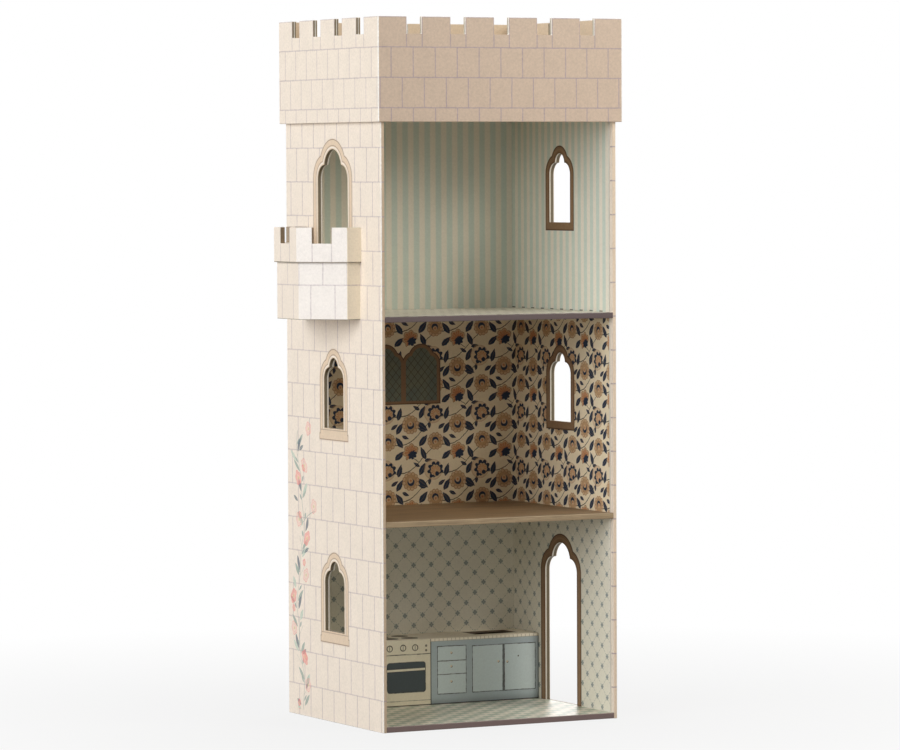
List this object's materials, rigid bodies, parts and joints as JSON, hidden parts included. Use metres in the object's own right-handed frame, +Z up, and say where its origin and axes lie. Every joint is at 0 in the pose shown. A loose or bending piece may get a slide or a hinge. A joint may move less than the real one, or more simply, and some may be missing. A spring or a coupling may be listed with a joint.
{
  "type": "toy castle tower",
  "caption": "Open-fronted toy castle tower of board and card, with papered rooms, lobed windows, a balcony, a kitchen unit and a crenellated roof terrace.",
  "frame": {"origin": "centre of the tower's underside, on the surface it stands on", "axes": "+Z up the tower; the open front faces -Y; the balcony is on the -X side"},
  "size_m": [0.3291, 0.23, 0.7198],
  "materials": {
    "brick_print_board": "matt printed paper",
    "plain_tan_board": "matt printed paper",
    "trellis_wallpaper": "matt printed paper",
    "flowered_wallpaper": "matt printed paper",
    "striped_wallpaper": "matt printed paper",
    "pale_check_floor": "matt printed paper",
    "wood_print_floor": "matt printed paper",
    "pale_tile_floor": "matt printed paper",
    "kitchen_print_card": "matt printed paper"
  },
  "bodies": {
    "root": {"tower_shell": "brick_print_board", "crown_band": "brick_print_board", "balcony_body": "brick_print_board", "balcony_band": "brick_print_board", "balcony_floor": "plain_tan_board", "roof_deck": "plain_tan_board", "ground_room_lining": "trellis_wallpaper", "middle_room_lining": "flowered_wallpaper", "upper_room_lining": "striped_wallpaper", "ground_floor": "pale_check_floor", "middle_floor": "wood_print_floor", "upper_floor": "pale_tile_floor", "kitchen_unit": "kitchen_print_card"}
  },
  "joints": []
}
